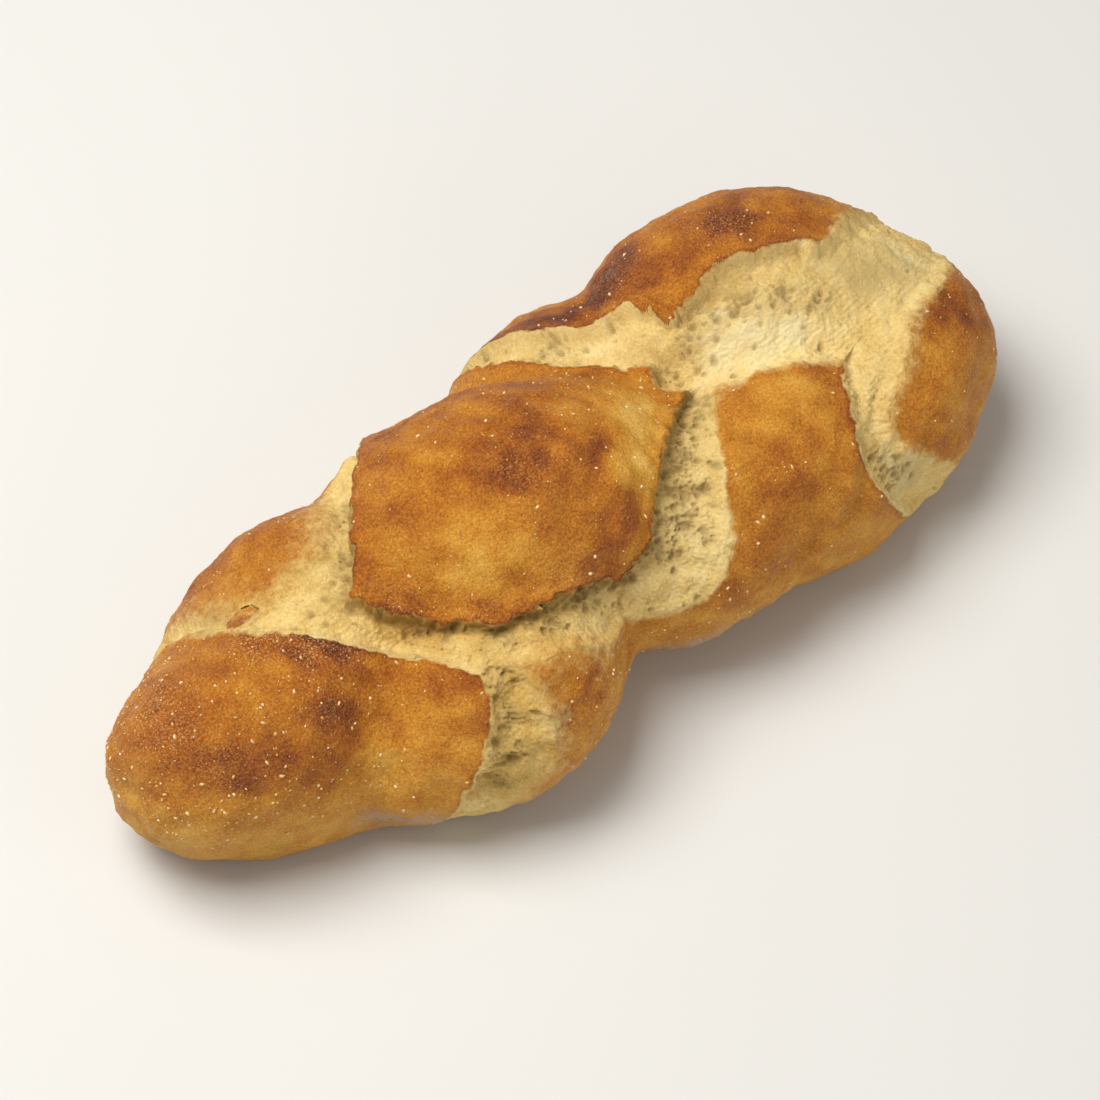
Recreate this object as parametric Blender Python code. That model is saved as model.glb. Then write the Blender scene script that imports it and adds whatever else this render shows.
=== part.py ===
"""A plaited loaf of white bread, built as one closed solid that stands on a flat base.

Three strands of dough swing from side to side and cross over each other along the loaf. Each
is a smooth chain of balls, fatter at its lobes. The loaf is the soft union of the three and a
low sole that joins them underneath, cut flat where it stood in the oven.
Browned crust covers the swollen strands. Between them the dough tore open as it rose, in
bands that lie lower than the crust and have a raised lip where the crust broke sharply.
"""

import bpy
import numpy as np

MM = 0.001

# The plait. Three strands swing from side to side along the loaf and cross one over another.
# Lengths are in millimetres, along the loaf (x), across it (y, towards the back) and up (z).
LEFT_TIP = 150.0
RIGHT_TIP = 131.0
TIP_INSET = 24.0
ROUNDNESS = 2.5
STRAND_SWING = 24.0
STRAND_LIFT = 8.0
STRAND_RADIUS = 28.0
STRAND_HEIGHT = 27.0
TIP_HEIGHT_SHARE = 0.8
LEFT_TIP_SHARE = 0.5
RIGHT_TIP_SHARE = 0.75
LOBE_STEP = 60.0
FRONT_START = 315.0
BACK_START = 135.0
OUTER_PITCH = 34.0
# Lobes, where a strand comes over the top, in their order along the loaf. They take the three
# strands in turn. Each has its x, how far it is moved to the back and up, how much fatter
# it is, and the reach of that along the loaf.
LOBES = {
    "front left": (-108, 10, 4, 3, 32),
    "back left": (-75, 5, 0, 2, 28),
    "front small": (-45, -11, -4, 1, 24),
    "middle": (-22, -14, 8, 12, 36),
    "front right": (42, -2, -2, 2, 32),
    "back right": (82, 6, 7, 8, 34),
    "right end": (104, -6, 0, 3, 28),
}
# Places between the lobes that are fuller or slimmer, in the same terms after the strand's number
UNEVEN = {
    "strip behind the middle": (2, 22, 13, 4, 3, 20),
    "waist in front": (1, -10, 14, 0, -3, 18),
    "slim front left": (2, -85, 7, 0, 0, 18),
    "full front right": (1, 66, -11, -2, 6, 18),
    "full back end": (2, 106, 4, 0, 2, 18),
    "left tip": (0, -128, 8, 2, 0, 14),
    "under the left tip": (2, -126, 3, 0, -6, 16),
}
# The sole, a low core under the strands that keeps the underside flat between them
SOLE_FIRST_X = -112.0
SOLE_LAST_X = 104.0
SOLE_HEIGHT = 12.0
SOLE_RADIUS = 24.0
SOLE_TIP_SHARE = 0.6
BALLS_PER_STRAND = 96
PLACE_STEPS = 400
STRAND_BLEND = 8.0
BASE_ROUNDING = 5.0

# Surface rays leave a straight spine inside the loaf and fan out towards the two ends.
SPINE_HEIGHT = 27.0
SPINE_HALF_LENGTH = 98.0
FAN_SHARPNESS = 4.0
GUIDE_HALF_LENGTH = 150.0
GUIDE_RADIUS = 56.0
GUIDE_FULLNESS = 0.8
GUIDE_STEPS = 2001
RAY_START = 85.0
MARCH_STEPS = 30
MARCH_SHARE = 0.92
GRID_ROWS = 300
GRID_COLUMNS = 168

# Torn bands, whose nodes give the length along the loaf, the turn from straight up towards
# the front in degrees, and half the band's width. The two lips say how sharply the crust
# broke on the band's left and right side, from 0 for a soft edge to 1.
BANDS = {
    "front left": (0.0, 0.4, (
        (28, -118, 3), (37, -79, 4), (42, -46, 4.5), (48, -26, 6.5), (57, -8, 7), (65, 9, 6),
        (76, 32, 4), (90, 50, 5), (89, 66, 9), (84, 79, 11), (76, 90, 10), (68, 115, 7),
    )),
    "back left": (0.8, 0.2, (
        (122, -112, 4), (120, -90, 5), (115, -66, 3), (101, -55, 9), (84, -36, 5), (71, -24, 7),
        (59, -17, 11),
    )),
    "middle low": (1.0, 0.3, (
        (61, -4, 6), (79, 30, 5), (94, 46, 7), (117, 50, 7), (138, 57, 9), (152, 59, 6),
    )),
    "middle right": (0.0, 1.0, (
        (244, -3, 5), (227, 14, 5), (211, 28, 8), (196, 41, 11), (182, 57, 13), (168, 61, 12),
        (156, 59, 8),
    )),
    "back middle": (0.6, 0.6, (
        (168, -116, 3), (176, -96, 4), (184, -80, 5), (194, -65, 5.5), (207, -53, 6.5),
        (222, -45, 7.5), (236, -33, 9), (247, -12, 9),
    )),
    "back right": (1.0, 0.2, (
        (238, -14, 8), (251, -10, 14.5), (264, -6, 16.5), (278, 2, 17.5), (288, 11, 17),
        (300, 10, 17), (315, -2, 16), (326, -22, 14), (331, -52, 10), (325, -105, 5),
    )),
    "right": (0.3, 0.5, (
        (298, 25, 9), (287, 40, 9.5), (278, 50, 7), (271, 61, 7), (273, 74, 8), (286, 97, 10),
    )),
}
POINTS_PER_SPAN = 12
LIP_TURNOVER = 0.7
TORN_DEPTH = 2.0
UNDERCUT_DEPTH = 1.6
UNDERCUT_WIDTH = 3.5
LIP_HEIGHT = 0.7
LIP_WIDTH = 3.0
SHARP_EDGE = 2.4
SOFT_EDGE = 6.0
CALM_HEIGHT = 18.0

# Finished solid
TRIANGLES = 10400
BASE_SNAP = 0.15
CRUST_COLOUR = (0.42, 0.19, 0.045, 1.0)
CRUST_ROUGHNESS = 0.62


def smooth_min(a, b, blend):
    """The smaller of two distances, rounded off where they are within blend of each other."""
    near = np.maximum(blend - np.abs(a - b), 0.0) / blend
    return np.minimum(a, b) - near * near * blend / 4


def smooth_max(a, b, blend):
    """The larger of two distances, rounded off in the same way."""
    return -smooth_min(-a, -b, blend)


def smooth_step(low, high, value):
    """A soft step from 0 at low to 1 at high."""
    t = np.clip((value - low) / (high - low), 0.0, 1.0)
    return t * t * (3 - 2 * t)


def curve_through(nodes, count):
    """A Catmull-Rom curve through the nodes, read at this many even steps."""
    nodes = np.asarray(nodes, float)
    ends = [2 * nodes[0] - nodes[1]], [2 * nodes[-1] - nodes[-2]]
    padded = np.concatenate([ends[0], nodes, ends[1]])
    t = np.linspace(0, len(nodes) - 1, count)
    i = np.minimum(t.astype(int), len(nodes) - 2)
    f = (t - i)[:, None]
    a, b, c, d = padded[i], padded[i + 1], padded[i + 2], padded[i + 3]
    cubic = (2 * a - 5 * b + 4 * c - d) * f * f + (3 * b - a - 3 * c + d) * f**3
    return 0.5 * (2 * b + (c - a) * f + cubic)


def fullness(x):
    """1 in the middle and 0 at each tip: (1 - |x / tip|^n)^(1/n), with n the roundness."""
    tip = np.where(x < 0, LEFT_TIP, RIGHT_TIP)
    return np.clip(1 - np.abs(x / tip) ** ROUNDNESS, 0, 1) ** (1 / ROUNDNESS)


def place_in_plait(x):
    """How many lobes have been passed at x, on a smooth curve through the lobes' places."""
    places = [x_at for x_at, *_ in LOBES.values()]
    places = [places[0] - OUTER_PITCH, *places, places[-1] + OUTER_PITCH]
    curve = curve_through(np.column_stack([places, np.arange(len(places)) - 1]), PLACE_STEPS)
    return np.interp(x, curve[:, 0], curve[:, 1])


def strand_balls(number):
    """A strand as rows of x, y, z and radius.

    y is the swing times the sine of the strand's turn and z falls by the lift times the sine
    of twice it, with both pinched at the tips. A swelling adds its share of exp(-(dx/reach)^2)."""
    x = np.linspace(TIP_INSET - LEFT_TIP, RIGHT_TIP - TIP_INSET, BALLS_PER_STRAND)
    full = fullness(x)
    start = BACK_START if number == 1 else FRONT_START
    turn = np.radians(LOBE_STEP * (place_in_plait(x) - number) + start)
    tip_share = np.where(x < 0, LEFT_TIP_SHARE, RIGHT_TIP_SHARE)
    y = STRAND_SWING * np.sin(turn) * full**2
    z = STRAND_HEIGHT * (TIP_HEIGHT_SHARE + (1 - TIP_HEIGHT_SHARE) * full)
    z -= STRAND_LIFT * np.sin(2 * turn) * full**2
    radius = STRAND_RADIUS * (tip_share + (1 - tip_share) * full)
    swellings = [(k % 3, *lobe) for k, lobe in enumerate(LOBES.values())] + [*UNEVEN.values()]
    for strand, x_at, back, up, fatter, reach in swellings:
        if strand == number:
            bell = np.exp(-(((x - x_at) / reach) ** 2))
            y, z, radius = y + back * bell, z + up * bell, radius + fatter * bell
    return np.stack([x, y, z, radius], 1)


def sole_balls():
    """The sole as rows of x, y, z and radius, slimmer towards the tips."""
    x = np.linspace(SOLE_FIRST_X, SOLE_LAST_X, BALLS_PER_STRAND)
    radius = SOLE_RADIUS * (SOLE_TIP_SHARE + (1 - SOLE_TIP_SHARE) * fullness(x))
    return np.stack([x, np.zeros(len(x)), np.full(len(x), SOLE_HEIGHT), radius], 1)


def distance_to_chain(points, balls):
    """Distance to the nearest ball, with a parabola through its neighbours in between."""
    centres = balls[:, :3]
    squared = (points**2).sum(1)[:, None] - 2 * points @ centres.T + (centres**2).sum(1)
    gaps = np.sqrt(np.maximum(squared, 1e-9)) - balls[:, 3]
    i = np.clip(gaps.argmin(1), 1, len(balls) - 2)
    row = np.arange(len(points))
    before, here, after = gaps[row, i - 1], gaps[row, i], gaps[row, i + 1]
    bend = np.maximum(before - 2 * here + after, 1e-9)
    t = np.clip(0.5 * (before - after) / bend, -1, 1)
    return here + 0.5 * (after - before) * t + 0.5 * bend * t * t


def loaf_distance(points, chains):
    """Distance to the soft union of the strands and the sole, cut flat at the base."""
    dough = distance_to_chain(points, chains[0])
    for balls in chains[1:]:
        dough = smooth_min(dough, distance_to_chain(points, balls), STRAND_BLEND)
    return smooth_max(dough, -points[:, 2], BASE_ROUNDING)


def guide_profile():
    """The angle and the length along an even guide profile, from the left tip to the right."""
    angle = np.linspace(0, np.pi, GUIDE_STEPS)
    x = -GUIDE_HALF_LENGTH * np.cos(angle)
    r = GUIDE_RADIUS * np.sin(angle) ** GUIDE_FULLNESS
    steps = np.hypot(np.diff(x), np.diff(r))
    return angle, np.concatenate([[0.0], np.cumsum(steps)])


def ray_fan(rows, columns):
    """Origins and directions of the rays, for each row along the loaf and turn around it."""
    angle, length = guide_profile()
    along = np.cos(np.interp(np.linspace(0, length[-1], rows), length, angle))
    around = np.arange(columns) * 2 * np.pi / columns
    lean = -np.sign(along) * np.abs(along) ** FAN_SHARPNESS
    reach = np.sqrt(1 - lean * lean)[:, None]
    origins = np.zeros((rows, columns, 3))
    origins[..., 0] = (-SPINE_HALF_LENGTH * along)[:, None]
    origins[..., 2] = SPINE_HEIGHT
    across, up = reach * np.cos(around), reach * np.sin(around)
    lean = np.broadcast_to(lean[:, None], across.shape)
    return origins, np.stack([lean, across, up], -1)


def march_to_surface(origins, directions, chains):
    """Walk each ray inwards from outside the loaf until it meets the surface."""
    t = np.full(origins.shape[:2], RAY_START)
    for _ in range(MARCH_STEPS):
        points = (origins + t[..., None] * directions).reshape(-1, 3)
        t = t - loaf_distance(points, chains).reshape(t.shape) * MARCH_SHARE
    return origins + t[..., None] * directions


def surface_normals(points, directions):
    """Unit normals of the grid, pointing out."""
    rows = np.gradient(points, axis=0)
    columns = (np.roll(points, -1, 1) - np.roll(points, 1, 1)) / 2
    normals = np.cross(columns, rows)
    normals /= np.linalg.norm(normals, axis=2, keepdims=True) + 1e-9
    return normals * np.sign((normals * directions).sum())


def read_grid(grid, along, turn):
    """Values of a grid at lengths along the loaf and turns around it."""
    rows, columns = grid.shape[:2]
    u = np.clip(along / guide_profile()[1][-1], 0, 1) * (rows - 1)
    v = (turn + 90) % 360 / 360 * columns
    i, j = np.minimum(u.astype(int), rows - 2), v.astype(int) % columns
    f, g = (u - i)[:, None], (v - v.astype(int))[:, None]
    k = (j + 1) % columns
    near = grid[i, j] * (1 - g) + grid[i, k] * g
    far = grid[i + 1, j] * (1 - g) + grid[i + 1, k] * g
    return near * (1 - f) + far * f


def band_distance(points, surface, normals, nodes):
    """Distance beyond the band's edge, negative inside it, and 1 on its left to -1 on its right."""
    path = curve_through(nodes, (len(nodes) - 1) * POINTS_PER_SPAN + 1)
    middle = read_grid(surface, path[:, 0], path[:, 1])
    facing = read_grid(normals, path[:, 0], path[:, 1])
    ahead = np.gradient(middle, axis=0)
    leftward = np.cross(facing, ahead)
    best = np.full(len(points), np.inf)
    side = np.zeros(len(points))
    for k in range(len(middle) - 1):
        run = middle[k + 1] - middle[k]
        t = np.clip((points - middle[k]) @ run / (run @ run), 0, 1)
        away = points - middle[k] - t[:, None] * run
        half_width = path[k, 2] * (1 - t) + path[k + 1, 2] * t
        distance = np.sqrt((away**2).sum(1)) - half_width
        offset = away @ leftward[k] / np.linalg.norm(leftward[k]) / half_width
        closer = distance < best
        best = np.where(closer, distance, best)
        side = np.where(closer, np.clip(offset, -1, 1), side)
    return best, side


def torn_relief(surface, normals):
    """How far the finished surface stands above the smooth strands, in millimetres."""
    points = surface.reshape(-1, 3)
    nearest = np.full(len(points), np.inf)
    lip = np.zeros(len(points))
    for left_lip, right_lip, nodes in BANDS.values():
        distance, side = band_distance(points, surface, normals, nodes)
        closer = distance < nearest
        nearest = np.where(closer, distance, nearest)
        leftness = smooth_step(-LIP_TURNOVER, LIP_TURNOVER, side)
        lip = np.where(closer, right_lip + (left_lip - right_lip) * leftness, lip)
    edge = SOFT_EDGE + (SHARP_EDGE - SOFT_EDGE) * lip
    inside = smooth_step(0.0, 1.0, -nearest / edge)
    undercut = UNDERCUT_DEPTH * lip * np.exp(-(((nearest + UNDERCUT_WIDTH) / UNDERCUT_WIDTH) ** 2))
    rim = LIP_HEIGHT * lip * np.exp(-((nearest / LIP_WIDTH) ** 2))
    calm = smooth_step(0.0, CALM_HEIGHT, points[:, 2])
    height = rim * (1 - inside) - (TORN_DEPTH + undercut) * inside
    return (height * calm).reshape(surface.shape[:2])


def closed_grid_mesh(name, points):
    """A mesh over the grid, with one vertex at each end of the loaf."""
    rows, columns = points.shape[:2]
    rings = points[1:-1].reshape(-1, 3)
    left, right = len(rings), len(rings) + 1
    vertices = np.concatenate([rings, points[0, :1], points[-1, :1]])
    step = np.arange(columns)
    after = (step + 1) % columns
    row = np.arange(rows - 3)[:, None] * columns
    quads = np.stack([row + step, row + after, row + columns + after, row + columns + step], -1)
    last = (rows - 3) * columns
    faces = quads.reshape(-1, 4).tolist()
    faces += [(left, b, a) for a, b in zip(step.tolist(), after.tolist())]
    faces += [(right, last + a, last + b) for a, b in zip(step.tolist(), after.tolist())]
    mesh = bpy.data.meshes.new(name)
    mesh.from_pydata(vertices.tolist(), [], faces)
    return mesh


def crust_material():
    """Matt golden-brown bread crust."""
    material = bpy.data.materials.new("golden crust")
    material.use_nodes = True
    shader = material.node_tree.nodes["Principled BSDF"]
    shader.inputs["Base Color"].default_value = CRUST_COLOUR
    shader.inputs["Roughness"].default_value = CRUST_ROUGHNESS
    shader.inputs["Metallic"].default_value = 0.0
    return material


def settle_base(mesh):
    """Lay every vertex near the base on it, and centre the loaf over the origin."""
    count = len(mesh.vertices)
    flat = np.empty(count * 3)
    mesh.vertices.foreach_get("co", flat)
    points = flat.reshape(-1, 3)
    points[points[:, 2] < BASE_SNAP * MM, 2] = 0.0
    middle = (points.min(0) + points.max(0)) / 2
    points[:, :2] -= middle[:2]
    mesh.vertices.foreach_set("co", points.reshape(-1))
    mesh.update()


def build_loaf():
    """The loaf as one object, thinned to the triangles that its form needs."""
    chains = [*map(strand_balls, range(3)), sole_balls()]
    origins, directions = ray_fan(GRID_ROWS, GRID_COLUMNS)
    surface = march_to_surface(origins, directions, chains)
    normals = surface_normals(surface, directions)
    surface = surface + torn_relief(surface, normals)[..., None] * directions
    surface[..., 2] = np.maximum(surface[..., 2], 0.0)
    fine = bpy.data.objects.new("loaf", closed_grid_mesh("loaf fine", surface * MM))
    bpy.context.scene.collection.objects.link(fine)
    thin = fine.modifiers.new("Decimate", "DECIMATE")
    thin.ratio = TRIANGLES / (2 * GRID_COLUMNS * (GRID_ROWS - 2))
    thin.use_collapse_triangulate = True
    bpy.context.view_layer.update()
    graph = bpy.context.evaluated_depsgraph_get()
    mesh = bpy.data.meshes.new_from_object(fine.evaluated_get(graph))
    fine.modifiers.clear()
    fine.data = mesh
    settle_base(mesh)
    mesh.shade_smooth()
    mesh.materials.append(crust_material())
    return fine


def main():
    for obj in list(bpy.data.objects):
        bpy.data.objects.remove(obj, do_unlink=True)
    build_loaf()


main()
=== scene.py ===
"""A plaited white loaf with browned crust and torn crumb, on a plain pale floor.

The crust is one fine surface over three soft-joined strands of dough, and stands for the
plain solid in the frame. The torn crumb between the strands and the pale flecks are pieces
of their own. Lengths are in millimetres and turns in degrees until a mesh is made.
"""

from functools import lru_cache

import bpy
import numpy as np
from bpy.props import FloatProperty, FloatVectorProperty, IntProperty, PointerProperty
from bpy.types import Operator, Panel, PropertyGroup
from mathutils import Matrix, Vector


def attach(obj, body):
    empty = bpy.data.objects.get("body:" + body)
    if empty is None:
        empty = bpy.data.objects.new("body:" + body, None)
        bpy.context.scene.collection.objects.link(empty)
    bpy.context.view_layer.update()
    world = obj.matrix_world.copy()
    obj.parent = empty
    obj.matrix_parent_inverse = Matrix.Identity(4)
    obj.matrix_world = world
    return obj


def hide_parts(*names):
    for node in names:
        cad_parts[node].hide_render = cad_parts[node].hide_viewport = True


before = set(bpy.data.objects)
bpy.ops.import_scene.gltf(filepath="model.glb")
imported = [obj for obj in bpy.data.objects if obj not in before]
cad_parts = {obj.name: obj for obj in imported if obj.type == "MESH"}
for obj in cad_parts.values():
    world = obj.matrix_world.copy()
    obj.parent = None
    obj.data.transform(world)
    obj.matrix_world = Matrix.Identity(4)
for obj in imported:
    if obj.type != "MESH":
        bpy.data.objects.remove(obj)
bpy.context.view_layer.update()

bl_info = {
    "name": "Braided loaf",
    "version": (1, 0, 0),
    "blender": (4, 5, 0),
    "location": "View3D > Sidebar > Loaf",
    "description": "Builds a plaited white loaf with browned crust and torn crumb",
    "category": "Add Mesh",
}

MM = 0.001

# The plait. Three strands swing from side to side along the loaf and cross one over another.
# Lengths are in millimetres, along the loaf (x), across it (y, towards the back) and up (z).
LEFT_TIP = 150.0
RIGHT_TIP = 131.0
TIP_INSET = 24.0
ROUNDNESS = 2.5
STRAND_SWING = 24.0
STRAND_LIFT = 8.0
STRAND_RADIUS = 28.0
STRAND_HEIGHT = 27.0
TIP_HEIGHT_SHARE = 0.8
LEFT_TIP_SHARE = 0.5
RIGHT_TIP_SHARE = 0.75
LOBE_STEP = 60.0
FRONT_START = 315.0
BACK_START = 135.0
OUTER_PITCH = 34.0
# Lobes, where a strand comes over the top, in their order along the loaf. They take the three
# strands in turn. Each has its x, how far it is moved to the back and up, how much fatter
# it is, and the reach of that along the loaf.
LOBES = {
    "front left": (-108, 10, 4, 3, 32),
    "back left": (-75, 5, 0, 2, 28),
    "front small": (-45, -11, -4, 1, 24),
    "middle": (-22, -14, 8, 12, 36),
    "front right": (42, -2, -2, 2, 32),
    "back right": (82, 6, 7, 8, 34),
    "right end": (104, -6, 0, 3, 28),
}
# Places between the lobes that are fuller or slimmer, in the same terms after the strand's number
UNEVEN = {
    "strip behind the middle": (2, 22, 13, 4, 3, 20),
    "waist in front": (1, -10, 14, 0, -3, 18),
    "slim front left": (2, -85, 7, 0, 0, 18),
    "full front right": (1, 66, -11, -2, 6, 18),
    "full back end": (2, 106, 4, 0, 2, 18),
    "left tip": (0, -128, 8, 2, 0, 14),
    "under the left tip": (2, -126, 3, 0, -6, 16),
}
# The sole, a low core under the strands that keeps the underside flat between them
SOLE_FIRST_X = -112.0
SOLE_LAST_X = 104.0
SOLE_HEIGHT = 12.0
SOLE_RADIUS = 24.0
SOLE_TIP_SHARE = 0.6
BALLS_PER_STRAND = 96
PLACE_STEPS = 400
STRAND_BLEND = 8.0
BASE_ROUNDING = 5.0

# Rays leave a straight spine inside the loaf and fan out towards the two ends. The length
# along the loaf is measured on a plain guide shape around it.
SPINE_HEIGHT = 27.0
SPINE_HALF_LENGTH = 98.0
FAN_SHARPNESS = 4.0
GUIDE_HALF_LENGTH = 150.0
GUIDE_RADIUS = 56.0
GUIDE_FULLNESS = 0.8
GUIDE_STEPS = 2001
# Each ray is walked inwards by this share of the distance left: first on every third row and
# column of the grid, then on all of them from there
RAY_START = 85.0
WALK_SHARE = 0.92
COARSE_EVERY = 3
COARSE_STEPS = 24
FINE_STEPS = 7
# The share of a grid's columns that lie within the top turn of straight up, to either side
TOP_TURN = 120.0
TOP_SHARE = 0.8
# Rows and columns of the crust and of the crumb, and how far round the crumb's grid goes
GRID = (331, 300)
CRUMB_GRID = (700, 580)
CRUMB_TURN = 125.0
# Paths on the loaf: points in each span of nodes, step between the points, least half width
SPAN_POINTS = 16
PATH_STEP = 2.0
LEAST_WIDTH = 0.1

# Torn bands: lip sharpness and fade in millimetres on the left and right side, then nodes of
# length along the loaf, turn from straight up towards the front in degrees, and half width
BANDS = {
    "front left": (0.0, 0.4, 4.0, 0.8, (
        (28, -118, 3), (37, -79, 4), (42, -46, 4.5), (48, -26, 6.5), (57, -8, 7), (65, 9, 6),
        (76, 32, 4), (90, 50, 5), (89, 66, 9), (84, 79, 11), (76, 90, 10), (68, 115, 7),
    )),
    "back left": (0.8, 0.2, 0.6, 2.5, (
        (122, -112, 4), (120, -90, 5), (115, -66, 3), (101, -55, 9), (84, -36, 5), (71, -24, 7),
        (59, -17, 11),
    )),
    "middle low": (1.0, 0.3, 0.5, 5.0, (
        (61, -4, 6), (79, 30, 5), (94, 46, 7), (117, 50, 7), (138, 57, 9), (152, 59, 6),
    )),
    "middle right": (0.0, 1.0, 1.6, 0.5, (
        (244, -3, 5), (227, 14, 5), (211, 28, 8), (196, 41, 11), (182, 57, 13), (168, 61, 12),
        (156, 59, 8),
    )),
    "back middle": (0.6, 0.6, 0.8, 0.9, (
        (168, -116, 3), (176, -96, 4), (184, -80, 5), (194, -65, 5.5), (207, -53, 6.5),
        (222, -45, 7.5), (236, -33, 9), (247, -12, 9),
    )),
    "back right": (1.0, 0.2, 0.7, 3.0, (
        (238, -14, 8), (251, -10, 14.5), (264, -6, 16.5), (278, 2, 17.5), (288, 11, 17),
        (300, 10, 17), (315, -2, 16), (326, -22, 14), (331, -52, 10), (325, -105, 5),
    )),
    "right": (0.3, 0.5, 3.0, 1.0, (
        (298, 25, 9), (287, 40, 9.5), (278, 50, 7), (271, 61, 7), (273, 74, 8), (286, 97, 10),
    )),
}
TORN_DEPTH = 2.0
UNDERCUT_DEPTH = 1.6
UNDERCUT_WIDTH = 3.5
LIP_HEIGHT = 0.7
LIP_WIDTH = 3.0
SHARP_EDGE = 1.2
SOFT_EDGE = 6.0
CALM_HEIGHT = 14.0
BAND_REACH = 34.0
# A band's lip and fade change over from side to side within this share of its half width, and
# the runs along the bands are kept this far apart
LIP_TURNOVER = 0.7
RUN_APART = 400
# How ragged the torn edges are: height, wavelength and seed of each wave, and how much of
# that a soft edge has and a sharp lip adds
RAGGED_WAVES = ((0.5, 7.0, 11), (0.3, 2.4, 12))
RAGGED_SOFT = 0.45
RAGGED_LIP = 0.55
# Waves over the whole loaf and over the crust's skin, in the same terms
LOAF_WAVES = ((0.4, 24.0, 31), (0.22, 9.0, 32))
SKIN_WAVES = ((0.1, 3.2, 33),)
# Bake level: its least, how much the top adds between these heights, its waves, and how much
# a browned spot of amount 1 adds
BAKE_LEAST = 0.33
BAKE_TOP = 0.2
BAKE_HEIGHTS = (14, 58)
BAKE_WAVES = ((0.03, 26.0, 21), (0.04, 10.0, 22))
BAKE_SPOT = 0.28

# Spots are bells around a place on the loaf, a little wavy: wavelength, height and first seed
# of the waves, for the largest of the spots, for sharper ones, and for their sum
SPOT_SEED = 23
SPOT_WAVELENGTH = 9.0
SPOT_WOBBLE = 1.2
EDGE_WOBBLE = 0.6
SWELL_WOBBLE = 0.5
SUM_WAVELENGTH = 11.0
SUM_WOBBLE = 1.6

# Browned spots: length along, turn, radius in millimetres, and how much darker or paler
BROWNED = (
    # front left lobe, with its dark frosted top edge
    (27, -35, 8, 0.6), (24, -5, 8, 0.5), (40, -40, 6, 0.7), (43, -17, 6, 0.9), (48, -4, 6, 0.9),
    (52, 2, 7, 1.0), (58, 8, 6, 0.9), (62, 17, 5, 0.5), (46, 34, 9, 1.3), (39, 58, 8, 0.8),
    (26, 25, 11, 0.6), (16, 15, 9, 0.6), (30, 38, 8, 0.4), (66, 34, 11, 0.2), (82, 53, 4, 0.5),
    (81, 62, 5, 0.5), (76, 77, 5, 0.3), (62, 70, 14, -0.3), (50, 75, 10, -0.3),
    (10, 60, 12, -0.5), (28, 90, 12, -0.3), (8, -10, 8, -0.3), (46, -30, 5, -0.7),
    (20, -18, 14, 0.3),
    # middle lobe, dark round its lower and left edge, pale on its right
    (88, -28, 4, 0.35), (80, -15, 4, 0.35), (75, -8, 4, 0.5), (77, 6, 4, 0.6), (81, 16, 5, 0.6),
    (88, 26, 4, 0.6), (97, 35, 5, 0.7), (107, 38, 5, 0.5), (117, 38, 4, 0.5), (146, 40, 6, 0.4),
    (158, 34, 7, 0.8), (167, 30, 6, 0.5), (134, 6, 8, 0.7), (142, 4, 8, 0.6), (149, 1, 6, 0.5),
    (174, 12, 7, 0.75), (166, 13, 7, 0.5), (134, -9, 9, 0.4), (152, -4, 8, 0.35),
    (155, -16, 10, 0.3), (140, -38, 8, 0.5), (112, -40, 6, 0.45), (125, -42, 6, 0.5),
    (168, -30, 8, 0.5), (188, -40, 7, 0.5), (205, -36, 6, 0.4), (95, -15, 9, 0.15),
    (100, 15, 9, -0.8), (86, 2, 8, -0.4), (183, 24, 11, -1.3), (200, 5, 12, -1.3),
    (215, -6, 8, -0.6), (112, 8, 8, -0.3), (122, 24, 9, -0.2), (104, 27, 8, -0.5),
    (113, 30, 8, -0.35), (190, -12, 8, 0.1),
    # back right lobe, the brownest
    (245, -57, 10, 1.4), (236, -56, 7, 1.0), (250, -41, 6, 0.9), (260, -33, 6, 0.6),
    (277, -30, 11, 1.2), (282, -34, 8, 0.7), (270, -42, 9, 0.5), (258, -52, 9, 0.4),
    (291, -22, 6, 0.5), (298, -13, 5, 0.5), (284, -12, 6, 0.5), (290, -42, 9, 0.4),
    (266, -50, 16, -0.35), (286, -28, 12, -0.35),
    # front right lobe
    (274, 27, 4, 0.5), (272, 38, 5, 0.6), (269, 50, 5, 0.6), (264, 60, 5, 0.5), (232, 55, 9, 0.5),
    (250, 26, 11, -0.6), (263, 34, 9, -0.5), (258, 14, 5, 0.25), (224, 33, 7, -0.5),
    (214, 44, 8, -0.5), (205, 58, 8, -0.1), (190, 73, 6, 0.35), (200, 77, 6, 0.35),
    (238, 25, 8, 0.15), (250, 82, 10, -0.1), (222, 70, 9, -0.15),
    # right end
    (314, 41, 8, 0.95), (309, 33, 6, 0.5), (322, 50, 7, 0.5), (288, 80, 7, 0.6), (296, 88, 7, 0.4),
    (318, 78, 10, 0.3), (298, 60, 12, -0.2),
    # front small lobe
    (124, 66, 4, 0.9), (116, 70, 4, 0.85), (108, 73, 4, 0.65), (100, 76, 4, 0.5),
    (128, 82, 10, -0.2), (104, 92, 10, 0.1),
    # back left lobe and the strip behind the middle one
    (60, -68, 9, 0.5), (48, -70, 8, 0.5), (78, -62, 8, 0.5), (88, -62, 6, 0.5), (40, -62, 5, 0.5),
    (205, -70, 8, 1.2), (195, -80, 8, 1.0), (216, -62, 7, 1.1), (226, -60, 6, 1.0),
)

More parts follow.
